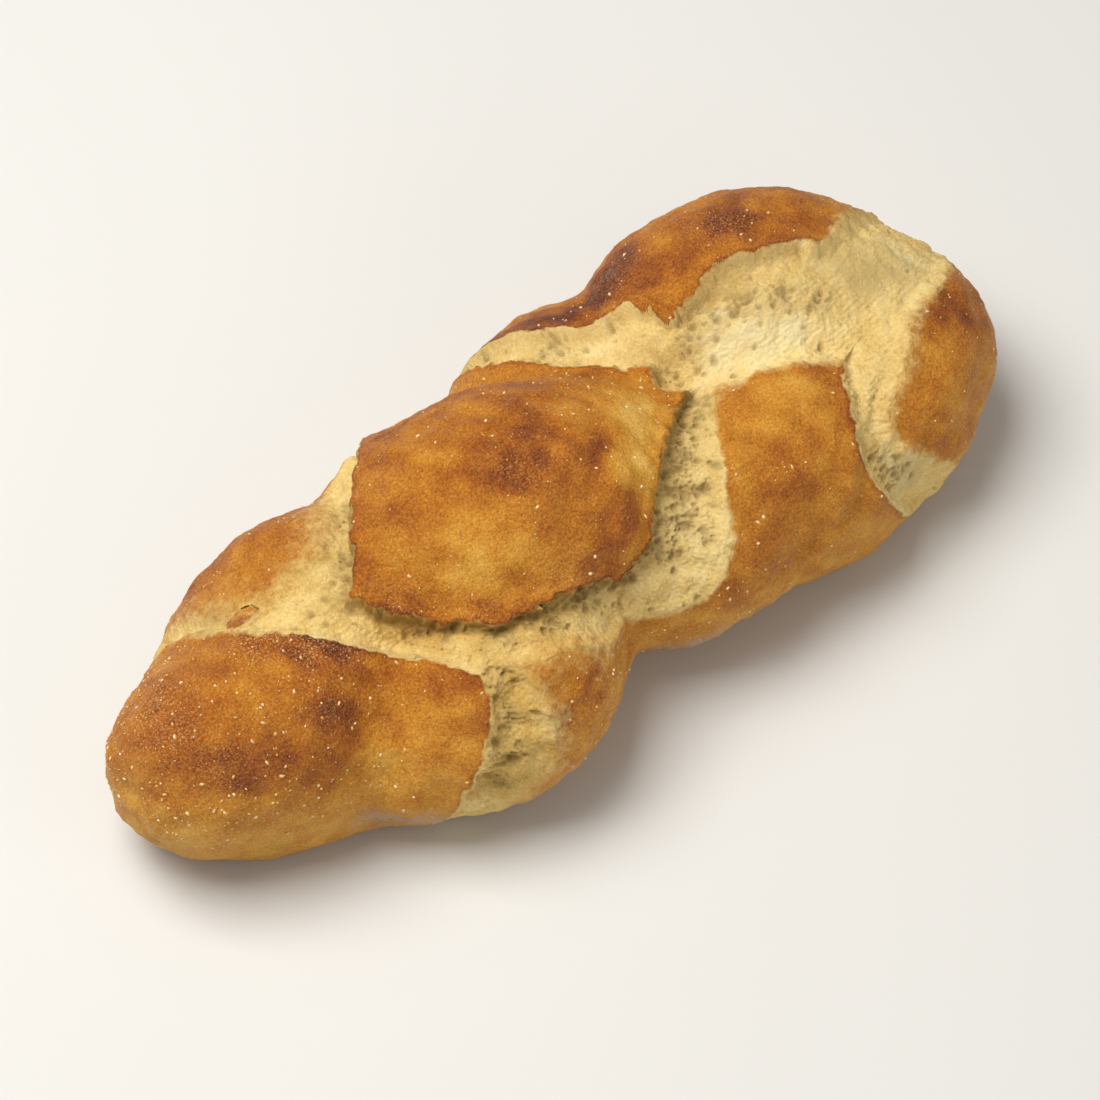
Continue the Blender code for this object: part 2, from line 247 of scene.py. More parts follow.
# Open crumb, with large pores: length along, turn and radius in millimetres
# Their olive darkening is partly painted shade, in the open pores and under the middle lobe's lip
POROUS_AND_SHADED = (
    (232, 5, 6), (225, 14, 6), (215, 22, 6), (206, 29, 7), (197, 38, 7), (188, 46, 7),
    (176, 49, 6), (166, 48, 5), (154, 51, 4), (232, -22, 6), (245, -18, 6), (255, -20, 7),
    (266, -12, 6), (276, -4, 6), (286, 6, 5), (88, -40, 5), (84, -34, 5), (78, -25, 5),
    (74, -17, 4), (74, 8, 4), (84, 26, 5), (98, 43, 5), (115, 47, 5), (135, 50, 5), (87, 55, 5),
    (85, 66, 5), (82, 76, 5), (78, 86, 5), (270, 68, 5), (275, 78, 5), (205, -54, 5),
)

# Frosted crust, with many fine pale specks: length along, turn, radius, and how many of them
FROSTED = (
    (24, -30, 11, 0.8), (22, -8, 10, 0.6), (44, -14, 8, 0.9), (52, 2, 8, 0.9), (58, 9, 6, 0.8),
    (46, 34, 8, 0.4), (22, 30, 12, 0.4), (245, -55, 10, 0.45), (275, -32, 10, 0.5),
    (97, 34, 7, 0.4), (130, 38, 8, 0.4), (78, 6, 5, 0.8), (140, 5, 9, 0.3),
)

# Grey skin, stretched smooth: length along, turn and radius
GREY = ((303, 6, 9), (310, 10, 8), (296, -2, 8), (280, 84, 7), (42, -48, 7))

# Paler and darker places of the crumb: length along, turn, radius, and how much paler
# The darker ones are painted shade, under the middle lobe's lip and in the strips and hollows
# between the strands
TONES_AND_SHADE = (
    (262, 0, 11, 0.25), (274, 9, 10, 0.25), (254, -6, 8, 0.2), (316, 8, 9, 0.15),
    (308, 24, 8, 0.1), (222, -46, 9, 0.1), (72, 6, 7, -0.45), (84, 24, 8, -0.55),
    (97, 40, 7, -0.3), (115, 46, 7, -0.35), (62, -40, 14, -0.25), (50, -45, 10, -0.2),
    (90, 58, 8, -0.3), (84, 74, 9, -0.3), (80, 88, 9, -0.25), (196, 56, 9, 0.1),
    (180, 64, 9, 0.05),
    (110, 62, 9, -0.2), (235, -24, 8, -0.1), (278, 80, 9, 0.25),
)

# Creases and hollows: depth, then nodes of length along, turn and half width
CREASES = {
    "front small lobe": (1.4, ((152, 56, 1.6), (150, 63, 1.4), (149, 72, 1.3), (147, 92, 1.2))),
    "rolled edge": (
        0.8, ((152, 58, 1.4), (156, 68, 1.5), (164, 75, 1.5), (177, 75, 1.4), (187, 69, 1.3)),
    ),
    "front right fold": (
        0.9, ((266, 62, 2), (260, 70, 2.6), (250, 76, 2.8), (238, 79, 2.8), (214, 81, 2.4)),
    ),
    "lower hollow": (2.6, ((70, 92, 2.0), (75, 85, 3.0), (82, 80, 2.4))),
    "upper hollow": (2.8, ((240, -27, 2.0), (250, -26, 3.0), (258, -22, 3.4), (266, -16, 2.6))),
    "under the middle plate": (
        1.2, ((132, 46, 1.4), (142, 48, 1.7), (152, 49, 1.9), (163, 46, 2), (174, 40, 2),
              (184, 33, 1.6)),
    ),
    "left strip": (
        1.1, ((66, -4, 2.0), (73, -14, 2.4), (80, -26, 2.6), (88, -38, 2.6), (98, -44, 1.6)),
    ),
    "low strip": (1.0, ((104, 52, 2.6), (97, 56, 3.0), (90, 62, 3.2), (84, 74, 3.0))),
}

# Softly fading crust: length along, turn, radius and the width of the fade it adds, and the
# lip's share from which it fades less and not at all
SOFT_LIPS = (0.3, 0.6)
SOFT = (
    (58, -54, 21, 20), (76, -46, 16, 17), (48, -72, 16, 12), (122, 70, 17, 16), (108, 82, 17, 15),
    (298, 45, 14, 7), (284, 56, 12, 5), (240, 14, 9, 4), (200, 60, 9, 2),
)

# Swellings of the crumb: length along, turn, radius and height, and how far beyond the edge
# they begin and inside it they are whole
SWELL_EDGE = (2.0, -3.0)
SWELLS = (
    (178, 66, 8, 1.9), (168, 66, 8, 1.7), (190, 60, 6, 1.3), (203, 48, 5, 0.9), (318, 4, 8, 1.6),
    (314, 16, 7, 1.3), (264, 0, 9, 1.4), (276, 10, 8, 1.2), (252, 2, 7, 1.0), (60, -35, 11, 1.2),
    (50, -20, 9, 1.0), (70, 16, 6, 0.7), (82, 36, 6, 0.7), (108, 60, 8, 1.1), (122, 62, 8, 1.0),
    (290, 34, 7, 0.9), (207, -53, 6, 0.7),
)

# Bits of crust left on the crumb: length along, turn and radius, the share of a spot where
# the crust begins and is whole, and its distance beyond a torn edge
PATCH_SHARES = (0.4, 0.7)
PATCH_EDGE = 2.5
PATCHES = ((46, -30, 5.0), (243, -37, 4.2), (246, -31, 3.2))

# Where a band's sharp lip dies away into a soft edge: length along, turn and radius, and the
# fade it adds
BLUNT_FADE = 7
BLUNT = ((302, -12, 9), (314, -22, 13), (327, -40, 15), (327, -75, 22))

# Floury crust near the base: length along, turn and radius
FLOURY = (
    (172, 100, 9), (182, 97, 10), (193, 92, 10), (204, 88, 9), (216, 88, 7), (60, 104, 6),
    (48, 104, 6), (86, 104, 6), (105, 100, 8), (118, 92, 6),
)

# The crust sinks under the crumb this far inside the torn edge, and not near the base
SUNK_EDGE = (0.4, 2.2)
SUNK_HEIGHTS = (3, 9)
SKIN_HEIGHT = 1.0

# The crumb is worked out to this far beyond the torn edge and kept to a little less, and
# tucks under the crust there. Inside the edge its relief grows to its full depth.
CRUMB_NEAR = 1.6
CRUMB_EDGE = 1.1
CRUMB_TUCK = 1.0
CRUMB_TUCK_WIDTH = 1.2
CRUMB_FULL_EDGE = 2.0
CRUMB_FOOT = 1.0
CRUMB_LEAST_HEIGHT = 0.4
# Fluff: waves in space and stretched along the band, and how much grey skin smooths it
FLUFF_WAVES = ((0.7, 1.7, 41),)
STRETCHED_WAVES = ((0.5, 1.6, 42),)
STRETCH = 0.3
GREY_CALM = 0.7
# Lumps: height on close and on open crumb, wavelength and seed
LUMP_HEIGHT = 0.12
LUMP_OPEN = 0.2
LUMP_WAVELENGTH = 6.0
LUMP_SEED = 43

# Pores: how many, their chance on close crumb, least size and spread of sizes, how rare large
# ones are, the longest for its width, how far one reaches, and how much deeper large ones are
PORE_COUNT = 900
PORE_CHANCE = 0.02
PORE_LEAST = 0.3
PORE_SPREAD = 0.9
PORE_RARITY = 2.2
PORE_LONGEST = 2.0
PORE_REACH = 3
PORE_STEEPNESS = 1.5
PORE_SHALLOW = 0.45
PORE_DEEPER = 0.5

# Flecks: places tried for each, the strip they fall in, least distance from a torn edge and
# from the base, and how thick they lie over the crust, round the left end and in clusters
FLECK_TRIES = 4
FLECK_TIPS = (8, 12)
FLECK_TURNS = (-95, 100)
FLECK_EDGE = 0.8
FLECK_FOOT = 6
FLECK_CHANCE = 0.25
LEFT_CHANCE = 0.75
LEFT_ALONG = 28
LEFT_REACH = 30
CLUSTER_CHANCE = 0.2
CLUSTER_WAVELENGTH = 14.0
CLUSTER_SEED = 71
CLUSTER_LEVEL = 0.4
# A fleck's half width, spread of widths and how rare large ones are, its length for its
# width, how ragged its rim is, its rise and how that grows with it, and its depth
FLECK_LEAST = 0.16
FLECK_SPREAD = 0.42
FLECK_RARITY = 3.0
FLECK_LONGEST = 1.9
FLECK_RIM = (0.75, 1.25)
FLECK_RISE = 0.25
FLECK_GROWTH = 0.5
FLECK_DEPTH = 0.4
FLECK_CORNERS = 6

# Screen colours, 0 to 255. The crust's go by its bake level and the crumb's by its tone.
CRUST_COLOURS = (
    (0.0, (240, 196, 104)), (0.22, (226, 166, 60)), (0.42, (206, 136, 34)),
    (0.62, (178, 102, 16)), (0.82, (142, 70, 14)), (1.0, (98, 44, 12)),
)
CRUMB_COLOURS = (
    (0.0, (172, 126, 52)), (0.4, (222, 182, 98)), (0.75, (248, 218, 144)), (1.0, (252, 234, 178)),
)
FLECK_COLOURS = ((0.35, (214, 158, 84)), (0.65, (246, 222, 168)))
SPECK_COLOUR = (230, 182, 122)
FOOT_COLOUR = (166, 132, 56)
FLOUR_COLOUR = (190, 166, 148)
# Olive of open crumb, its dark end partly painted shade
OPEN_CRUMB_DARK = (146, 116, 58)
OPEN_CRUMB_PALE = (222, 194, 128)
GREY_SKIN_COLOUR = (200, 174, 114)
# Painted shade: dark colours put in small holes, in pores and under a sharp lip
HOLE_SHADE_COLOUR = (112, 86, 40)
PORE_SHADE_COLOUR = (120, 92, 44)
UNDERCUT_SHADE_COLOUR = (160, 124, 62)

# The stage in metres: floor, room light, and two square lamps, each with its way as shares of
# the camera's right, up and backward, its distance and its size
FLOOR_HALF_SIDE = 4.0
FLOOR_ROUGHNESS = 0.9
ROOM_COLOUR = (1.0, 0.98, 0.95, 1)
ROOM_STRENGTH = 0.28
LAMP_COLOUR = (1.0, 0.97, 0.93)
LAMP_AIM = (0, 0, 0.04)
KEY = ((-0.4, 0.6, 0.8), 1.2, 0.8)
FILL = ((0.8, -0.35, 0.6), 1.2, 1.0)

# Camera, at the photograph's viewing angle
VIEW_TURN = -39.9
VIEW_RISE = 55.0
VIEW_DISTANCE = 1300.0
VIEW_SCALE = 3.62
VIEW_TARGET_HEIGHT = 38.0
TARGET_PIXEL = (577.3, 508.0)
PHOTO_PIXELS = 1100.0
SENSOR = 36.0
CLIP = (0.05, 20.0)


def smooth_min(a, b, blend):
    """The smaller of a and b, less (blend - |a - b|)^2 / (4 blend) where they are that near."""
    near = np.maximum(blend - np.abs(a - b), 0.0) / blend
    return np.minimum(a, b) - near * near * blend / 4


def smooth_max(a, b, blend):
    """The larger of a and b, rounded off in the same way."""
    return -smooth_min(-a, -b, blend)


def smooth_step(low, high, value):
    """3 t^2 - 2 t^3, where t runs from 0 at low to 1 at high."""
    t = np.clip((value - low) / (high - low), 0.0, 1.0)
    return t * t * (3 - 2 * t)


def waves(points, wavelength, seed, count=28):
    """Smooth noise of about unit size: a sum of plane waves of random direction and phase."""
    rng = np.random.default_rng(seed)
    ways = rng.normal(size=(count, points.shape[-1]))
    ways /= np.linalg.norm(ways, axis=1, keepdims=True)
    ways *= 2 * np.pi / wavelength * rng.uniform(0.65, 1.5, (count, 1))
    phases = rng.uniform(0, 2 * np.pi, count)
    return np.sin(points @ ways.T + phases).sum(-1) * np.sqrt(2 / count)


def wave_sum(points, terms):
    """The sum of waves, each given by its height, its wavelength and its seed."""
    return sum(height * waves(points, length, seed) for height, length, seed in terms)


def curve_through(nodes, count):
    """A Catmull-Rom curve through the nodes: a cubic in each span, read at even steps."""
    nodes = np.asarray(nodes, float)
    padded = np.concatenate([[2 * nodes[0] - nodes[1]], nodes, [2 * nodes[-1] - nodes[-2]]])
    t = np.linspace(0, len(nodes) - 1, count)
    i = np.minimum(t.astype(int), len(nodes) - 2)
    f = (t - i)[:, None]
    a, b, c, d = padded[i], padded[i + 1], padded[i + 2], padded[i + 3]
    cubic = (2 * a - 5 * b + 4 * c - d) * f * f + (3 * b - a - 3 * c + d) * f**3
    return 0.5 * (2 * b + (c - a) * f + cubic)


def fullness(x):
    """1 in the middle and 0 at each tip: (1 - |x / tip|^n)^(1/n), with n the roundness."""
    tip = np.where(x < 0, LEFT_TIP, RIGHT_TIP)
    return np.clip(1 - np.abs(x / tip) ** ROUNDNESS, 0, 1) ** (1 / ROUNDNESS)


def place_in_plait(x):
    """How many lobes have been passed at x, on a smooth curve through the lobes' places."""
    places = [x_at for x_at, *_ in LOBES.values()]
    places = [places[0] - OUTER_PITCH, *places, places[-1] + OUTER_PITCH]
    curve = curve_through(np.column_stack([places, np.arange(len(places)) - 1]), PLACE_STEPS)
    return np.interp(x, curve[:, 0], curve[:, 1])


def strand_balls(number):
    """A strand as rows of x, y, z and radius.

    y is the swing times the sine of the strand's turn and z falls by the lift times the sine
    of twice it, with both pinched at the tips. A swelling adds its share of exp(-(dx/reach)^2)."""
    x = np.linspace(TIP_INSET - LEFT_TIP, RIGHT_TIP - TIP_INSET, BALLS_PER_STRAND)
    full = fullness(x)
    start = BACK_START if number == 1 else FRONT_START
    turn = np.radians(LOBE_STEP * (place_in_plait(x) - number) + start)
    tip_share = np.where(x < 0, LEFT_TIP_SHARE, RIGHT_TIP_SHARE)
    y = STRAND_SWING * np.sin(turn) * full**2
    z = STRAND_HEIGHT * (TIP_HEIGHT_SHARE + (1 - TIP_HEIGHT_SHARE) * full)
    z -= STRAND_LIFT * np.sin(2 * turn) * full**2
    radius = STRAND_RADIUS * (tip_share + (1 - tip_share) * full)
    swellings = [(k % 3, *lobe) for k, lobe in enumerate(LOBES.values())] + [*UNEVEN.values()]
    for strand, x_at, back, up, fatter, reach in swellings:
        if strand == number:
            bell = np.exp(-(((x - x_at) / reach) ** 2))
            y, z, radius = y + back * bell, z + up * bell, radius + fatter * bell
    return np.stack([x, y, z, radius], 1)


def sole_balls():
    """The sole as rows of x, y, z and radius, slimmer towards the tips."""
    x = np.linspace(SOLE_FIRST_X, SOLE_LAST_X, BALLS_PER_STRAND)
    radius = SOLE_RADIUS * (SOLE_TIP_SHARE + (1 - SOLE_TIP_SHARE) * fullness(x))
    return np.stack([x, np.zeros(len(x)), np.full(len(x), SOLE_HEIGHT), radius], 1)


def distance_to_chain(points, balls):
    """Distance to the nearest ball, with a parabola through its neighbours in between."""
    centres = balls[:, :3]
    squared = (points**2).sum(1)[:, None] - 2 * points @ centres.T + (centres**2).sum(1)
    gaps = np.sqrt(np.maximum(squared, 1e-9)) - balls[:, 3]
    i = np.clip(gaps.argmin(1), 1, len(balls) - 2)
    row = np.arange(len(points))
    before, here, after = gaps[row, i - 1], gaps[row, i], gaps[row, i + 1]
    bend = np.maximum(before - 2 * here + after, 1e-9)
    t = np.clip(0.5 * (before - after) / bend, -1, 1)
    return here + 0.5 * (after - before) * t + 0.5 * bend * t * t


def loaf_distance(points, chains):
    """Distance to the soft union of the strands and the sole, cut flat at the base."""
    dough = distance_to_chain(points, chains[0])
    for balls in chains[1:]:
        dough = smooth_min(dough, distance_to_chain(points, balls), STRAND_BLEND)
    return smooth_max(dough, -points[:, 2], BASE_ROUNDING)


@lru_cache
def guide_profile():
    """Angle and length along the profile x = -h cos a, r = R sin(a)^f, from tip to tip."""
    angle = np.linspace(0, np.pi, GUIDE_STEPS)
    x = -GUIDE_HALF_LENGTH * np.cos(angle)
    r = GUIDE_RADIUS * np.sin(angle) ** GUIDE_FULLNESS
    return angle, np.concatenate([[0.0], np.cumsum(np.hypot(np.diff(x), np.diff(r)))])


def rays(along, turn):
    """Origin and direction of the ray at a length along the loaf and a turn in degrees."""
    angle, length = guide_profile()
    c = np.cos(np.interp(along, length, angle))
    lean = -np.sign(c) * np.abs(c) ** FAN_SHARPNESS
    reach = np.sqrt(1 - lean * lean)
    around = np.radians(turn + 90)
    level = np.full(np.shape(c), SPINE_HEIGHT)
    origins = np.stack([-SPINE_HALF_LENGTH * c, np.zeros(np.shape(c)), level], -1)
    return origins, np.stack([lean, reach * np.cos(around), reach * np.sin(around)], -1)


def column_turns(columns):
    """Turn of each grid column, with most of the columns over the top of the loaf."""
    share = np.arange(columns) / columns
    return np.interp(share, (0, TOP_SHARE, 1), (-TOP_TURN, TOP_TURN, 360 - TOP_TURN))


def read_grid(grid, along, turn):
    """Values of a grid between its rows and columns, by straight interpolation both ways."""
    rows, columns = grid.shape[:2]
    u = np.clip(along / guide_profile()[1][-1], 0, 1) * (rows - 1)
    share = np.interp((turn + TOP_TURN) % 360, (0, 2 * TOP_TURN, 360), (0, TOP_SHARE, 1))
    v = share * columns
    i, j = np.minimum(u.astype(int), rows - 2), v.astype(int) % columns
    k = (j + 1) % columns
    f, g = (u - i)[..., None], (v - np.floor(v))[..., None]
    near = grid[i, j] * (1 - g) + grid[i, k] * g
    far = grid[i + 1, j] * (1 - g) + grid[i + 1, k] * g
    return near * (1 - f) + far * f


def march(along, turn, start, steps):
    """Walk each ray from start towards the surface, by a share of the distance left each step."""
    origins, directions = rays(along, turn)
    chains = [*map(strand_balls, range(3)), sole_balls()]
    t = start
    for _ in range(steps):
        points = (origins + t[..., None] * directions).reshape(-1, 3)
        t = t - loaf_distance(points, chains).reshape(t.shape) * WALK_SHARE
    return t


@lru_cache
def smooth_loaf(rows, columns):
    """The smooth loaf on a grid: its points, ray directions and outward normals."""
    lengths = np.linspace(0, guide_profile()[1][-1], rows)
    along, turn = np.meshgrid(lengths, column_turns(columns), indexing="ij")
    thin = (slice(None, None, COARSE_EVERY),) * 2
    start = np.full(along[thin].shape, RAY_START)
    coarse = march(along[thin], turn[thin], start, COARSE_STEPS)
    start = read_grid(coarse[..., None], along, turn)[..., 0]
    reach = march(along, turn, start, FINE_STEPS)
    origins, directions = rays(along, turn)
    surface = origins + reach[..., None] * directions
    back, ahead = np.roll(surface, 1, 1), np.roll(surface, -1, 1)
    normals = np.cross(ahead - back, np.gradient(surface, axis=0))
    normals /= np.linalg.norm(normals, axis=2, keepdims=True) + 1e-9
    normals *= np.sign((normals * directions).sum())
    return surface, directions, normals


@lru_cache
def path_on_loaf(nodes):
    """A path on the smooth loaf at even steps: its points, left ways, half widths and run."""
    surface, _, normals = smooth_loaf(*GRID)
    path = curve_through(nodes, (len(nodes) - 1) * SPAN_POINTS + 1)
    middle = read_grid(surface, path[:, 0], path[:, 1])
    run = np.concatenate([[0], np.cumsum(np.linalg.norm(np.diff(middle, axis=0), axis=1))])
    even = np.linspace(0, run[-1], max(int(run[-1] / PATH_STEP), 2))
    along = np.interp(even, run, path[:, 0])
    turn = np.interp(even, run, path[:, 1])
    half_width = np.interp(even, run, path[:, 2])
    middle = read_grid(surface, along, turn)
    left = np.cross(read_grid(normals, along, turn), np.gradient(middle, axis=0))
    left /= np.linalg.norm(left, axis=1, keepdims=True)
    return middle, left, half_width, even


def nearest_on_path(points, path):
    """Distance to a path, its half width there, the offset to its left and the run along it.

    Only the points within BAND_REACH of the path in x are looked at. The rest keep that distance.
    The nearest place is the one with the least distance less half width."""
    middle, left, half_width, run = path
    order = np.argsort(points[:, 0])
    ordered = points[order]
    found = np.zeros((4, len(points)))
    found[0] = BAND_REACH
    for k in range(len(middle) - 1):
        step = middle[k + 1] - middle[k]
        slab = middle[k, 0] + np.array((-BAND_REACH, BAND_REACH))
        first, last = np.searchsorted(ordered[:, 0], slab)
        gap = ordered[first:last] - middle[k]
        t = np.clip(gap @ step / (step @ step), 0, 1)
        away = gap - t[:, None] * step
        width = half_width[k] * (1 - t) + half_width[k + 1] * t
        distance = np.sqrt((away**2).sum(1))
        closer = distance - width < found[0, first:last] - found[1, first:last]
        at = first + np.flatnonzero(closer)
        here = run[k] + t * (run[k + 1] - run[k])
        found[:, at] = np.stack([distance, width, away @ left[k], here])[:, closer]
    unsorted = np.empty_like(found)
    unsorted[:, order] = found
    return unsorted


class Torn:
    """Where each point stands to the nearest torn band.

    edge is the distance beyond the band, lip and fade tell how sharp and how soft it ends
    there, and run and across are the place along it and over it, all but lip in millimetres."""

    def __init__(self, points):
        self.edge = np.full(len(points), BAND_REACH)
        self.run, self.across, self.lip = np.zeros((3, len(points)))
        self.fade = np.ones(len(points))
        for number, band in enumerate(BANDS.values()):
            left_lip, right_lip, left_fade, right_fade, nodes = band
            distance, width, across, run = nearest_on_path(points, path_on_loaf(nodes))
            closer = distance - width < self.edge
            side = across / np.maximum(width, LEAST_WIDTH)
            share = smooth_step(-LIP_TURNOVER, LIP_TURNOVER, side)
            self.edge = np.where(closer, distance - width, self.edge)
            self.across = np.where(closer, across, self.across)
            self.run = np.where(closer, run + RUN_APART * number, self.run)
            self.lip = np.where(closer, right_lip + (left_lip - right_lip) * share, self.lip)
            fade = right_fade + (left_fade - right_fade) * share
            self.fade = np.where(closer, fade, self.fade)
        blunt = spots_on(points, BLUNT, EDGE_WOBBLE)
        self.lip *= 1 - blunt
        self.fade += BLUNT_FADE * blunt
        self.fade += spots_on(points, SOFT) * (1 - smooth_step(*SOFT_LIPS, self.lip))
        ragged = wave_sum(points, RAGGED_WAVES)
        self.edge += ragged * (RAGGED_SOFT + RAGGED_LIP * self.lip)
        left_on = smooth_step(*PATCH_SHARES, spots_on(points, PATCHES, EDGE_WOBBLE))
        self.edge += (PATCH_EDGE - self.edge) * left_on * (self.edge < 0)


def spot_bells(points, spots, wavelength, wobble):
    """For each spot exp(-d^2/r^2) times its amount, if it has one, with d a little wavy."""
    surface = smooth_loaf(*GRID)[0]
    ways = np.stack([waves(points, wavelength, SPOT_SEED + k) for k in range(3)], 1)
    moved = points + ways * wobble
    for along, turn, radius, *amount in spots:
        centre = read_grid(surface, np.array([float(along)]), np.array([float(turn)]))
        bell = np.exp(-((moved - centre) ** 2).sum(1) / radius**2)
        yield bell * (amount[0] if amount else 1.0)


def spots_on(points, spots, wobble=SPOT_WOBBLE):
    """The largest of the spots' bells at each point."""
    field = np.zeros(len(points))
    for bell in spot_bells(points, spots, SPOT_WAVELENGTH, wobble):
        field = np.maximum(field, bell)
    return field


def sum_of_spots(points, spots):
    """The sum of the spots' bells at each point."""
    total = np.zeros(len(points))
    for bell in spot_bells(points, spots, SUM_WAVELENGTH, SUM_WOBBLE):
        total += bell
    return total


def loaf_height(points, torn):
    """Rims above and torn floor, hollows and dents below the smooth loaf, in millimetres."""
    edge, lip = torn.edge, torn.lip
    width = SOFT_EDGE + (SHARP_EDGE - SOFT_EDGE) * lip
    inside = smooth_step(0.0, 1.0, -edge / width)
    undercut = UNDERCUT_DEPTH * lip * np.exp(-(((edge + UNDERCUT_WIDTH) / UNDERCUT_WIDTH) ** 2))
    rim = LIP_HEIGHT * lip * np.exp(-((edge / LIP_WIDTH) ** 2))
    height = rim * (1 - inside) - (TORN_DEPTH + undercut) * inside
    for depth, nodes in CREASES.values():
        distance, width, _, _ = nearest_on_path(points, path_on_loaf(nodes))
        height -= depth * np.exp(-((distance / np.maximum(width, LEAST_WIDTH)) ** 2))
    height += spots_on(points, SWELLS, SWELL_WOBBLE) * smooth_step(*SWELL_EDGE, edge)
    height += wave_sum(points, LOAF_WAVES)
    return height * smooth_step(0.0, CALM_HEIGHT, points[:, 2])


def bake_level(points):
    """How browned the crust is, from 0 to about 1: more on top, with named spots added."""
    level = BAKE_LEAST + BAKE_TOP * smooth_step(*BAKE_HEIGHTS, points[:, 2])
    level += wave_sum(points, BAKE_WAVES)
    return level + BAKE_SPOT * sum_of_spots(points, BROWNED)


@lru_cache
def loaf_centre():
    """The middle of the smooth loaf's box, on the base."""
    points = smooth_loaf(*GRID)[0].reshape(-1, 3)
    return (points.min(0) + points.max(0)) / 2 * (1, 1, 0)


def dough_layers(points, torn, pit):
    """The values that the shared finish reads at each point."""
    return {
        "edge": torn.edge,
        "fade": torn.fade,
        "bake": bake_level(points),
        "porous_and_shaded": spots_on(points, POROUS_AND_SHADED),
        "grey": spots_on(points, GREY),
        "frost": spots_on(points, FROSTED),
        "flour": spots_on(points, FLOURY),
        "tone": sum_of_spots(points, TONES_AND_SHADE),
        "pit": pit,
    }


def closed_grid(points):
    """Vertices and faces over a grid that closes around, with one vertex at each end."""
    rows, columns = points.shape[:2]
    vertices = np.concatenate([points[1:-1].reshape(-1, 3), points[0, :1], points[-1, :1]])
    step = np.arange(columns)
    after = (step + 1) % columns
    row = np.arange(rows - 3)[:, None] * columns
    quads = np.stack([row + step, row + after, row + columns + after, row + columns + step], -1)
    left, right, last = (rows - 2) * columns, (rows - 2) * columns + 1, (rows - 3) * columns
    faces = quads.reshape(-1, 4).tolist()
    faces += [(left, b, a) for a, b in zip(step.tolist(), after.tolist())]
    faces += [(right, last + a, last + b) for a, b in zip(step.tolist(), after.tolist())]
    return vertices, faces


def ends_apart(values):
    """Grid values in the vertex order of closed_grid."""
    return np.concatenate([values[1:-1].reshape(-1), values[0, :1], values[-1, :1]])


def make_piece(name, vertices, faces, material, slot, **attributes):
    """A mesh object in metres about the loaf's middle, riding on the loaf, with its attributes."""
    mesh = bpy.data.meshes.new(name)
    mesh.from_pydata(((vertices - loaf_centre()) * MM).tolist(), [], faces)
    for key, values in attributes.items():
        layer = mesh.attributes.new(key, "FLOAT", "POINT")
        layer.data.foreach_set("value", np.ascontiguousarray(values, np.float32))
    mesh.shade_smooth()
    mesh.materials.append(material)
    piece = bpy.data.objects.new(name, mesh)
    bpy.context.scene.collection.objects.link(piece)
    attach(piece, "root")
    return piece


class Shading:
    """A small helper that adds nodes to a material and joins them."""

    def __init__(self, name):
        self.material = bpy.data.materials.new(name)
        self.material.use_nodes = True
        self.tree = self.material.node_tree
        self.shader = self.tree.nodes["Principled BSDF"]
        self.place = self.add("ShaderNodeTexCoord").outputs["Object"]

    def add(self, kind, **settings):
        """A new node with these settings."""
        node = self.tree.nodes.new(kind)
        for key, value in settings.items():
            setattr(node, key, value)
        return node

    def put(self, value, socket):
        """Join an output to a socket, or set the socket to a number."""
        if isinstance(value, bpy.types.NodeSocket):
            self.tree.links.new(value, socket)
        else:
            socket.default_value = value

    def attribute(self, name):
        """A value that the mesh carries at its points."""
        return self.add("ShaderNodeAttribute", attribute_name=name).outputs["Fac"]

    def math(self, operation, a, b=0.0, c=0.0):
        """One sum of two or three values."""
        node = self.add("ShaderNodeMath", operation=operation)
        for value, socket in zip((a, b, c), node.inputs):
            self.put(value, socket)
        return node.outputs[0]

    def spread(self, value, low, high, to_low=0.0, to_high=1.0):
        """value from low..high to to_low..to_high, eased and held at the ends."""
        node = self.add("ShaderNodeMapRange", interpolation_type="SMOOTHSTEP")
        for each, socket in zip((value, low, high, to_low, to_high), node.inputs):
            self.put(each, socket)
        return node.outputs[0]

    def noise(self, size, detail=3.0, roughness=0.55):
        """Noise whose features are about size millimetres wide."""
        node = self.add("ShaderNodeTexNoise")
        self.put(self.place, node.inputs["Vector"])
        node.inputs["Scale"].default_value = 1 / (size * MM)
        node.inputs["Detail"].default_value = detail
        node.inputs["Roughness"].default_value = roughness
        return node.outputs["Fac"]

    def ramp(self, value, stops):
        """Colour that runs through the stops, each a position and a screen colour."""
        node = self.add("ShaderNodeValToRGB")
        while len(node.color_ramp.elements) < len(stops):
            node.color_ramp.elements.new(0.5)
        for element, (position, colour) in zip(node.color_ramp.elements, stops):
            element.position = position
            element.color = (*linear(*colour), 1.0)
        self.put(value, node.inputs["Fac"])
        return node.outputs["Color"]

    def mix(self, share, a, b):
        """Colour a, with this share of colour b, each an output or a screen colour."""
        node = self.add("ShaderNodeMix", data_type="RGBA")
        self.put(share, node.inputs["Factor"])
        for value, socket in ((a, node.inputs[6]), (b, node.inputs[7])):
            plain = isinstance(value, tuple)
            self.put((*linear(*value), 1.0) if plain else value, socket)
        return node.outputs[2]

    def bump(self, height, depth, below=None):
        """Bump of this depth in millimetres, on top of another bump."""
        node = self.add("ShaderNodeBump")
        node.inputs["Distance"].default_value = depth * MM
        self.put(height, node.inputs["Height"])
        if below is not None:
            self.put(below, node.inputs["Normal"])
        return node.outputs["Normal"]


def linear(*rgb):
    """Screen colour, 0 to 255, as scene-linear values."""
    c = np.array(rgb) / 255
    return tuple(np.where(c <= 0.04045, c / 12.92, ((c + 0.055) / 1.055) ** 2.4).tolist())


